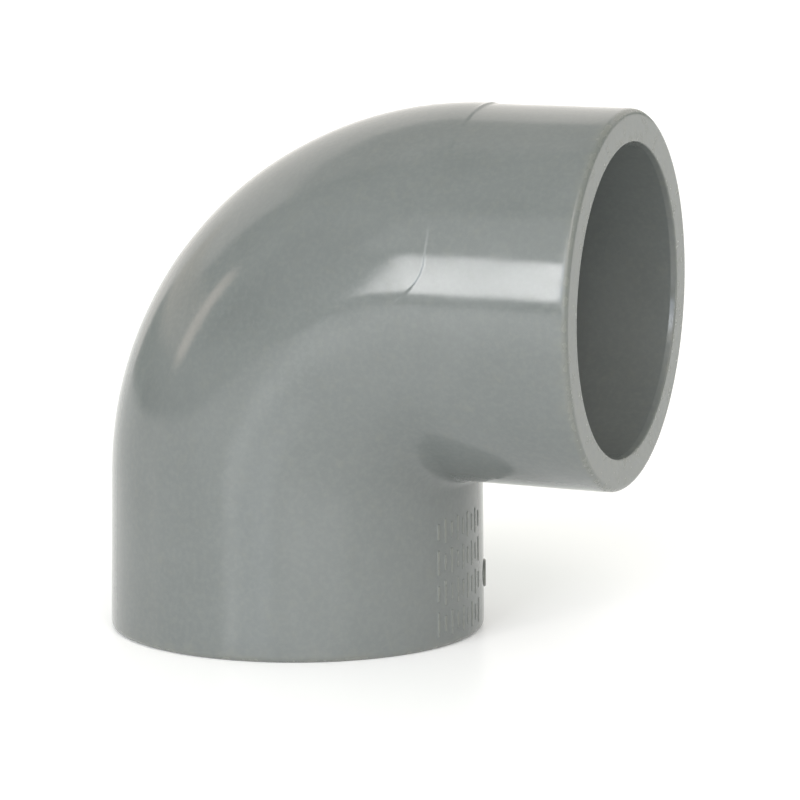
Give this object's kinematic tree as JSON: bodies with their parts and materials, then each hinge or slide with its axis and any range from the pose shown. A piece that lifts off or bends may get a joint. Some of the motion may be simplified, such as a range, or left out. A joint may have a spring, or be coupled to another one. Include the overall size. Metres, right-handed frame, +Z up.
{
  "type": "pipe socket elbow",
  "caption": "Grey plastic 90 degree elbow: a tight smooth bend with a deep plain socket at each end that a pipe slides into as far as an inner ledge.",
  "frame": {"origin": "centre of the lower socket's mouth, on the plane that the elbow stands on", "axes": "+Z up along the lower socket's axis, +X the way the upper socket opens, Y across the elbow, with its plane of symmetry at Y = 0"},
  "size_m": [0.1097, 0.077, 0.1099],
  "materials": {
    "grey_pvc": "semi-gloss moulded rigid PVC",
    "grey_pvc_marks": "semi-gloss moulded rigid PVC, edges rubbed slightly paler"
  },
  "bodies": {
    "root": {"lower_socket": "grey_pvc", "bend": "grey_pvc", "upper_socket": "grey_pvc", "raised_marks": "grey_pvc_marks"}
  },
  "joints": []
}
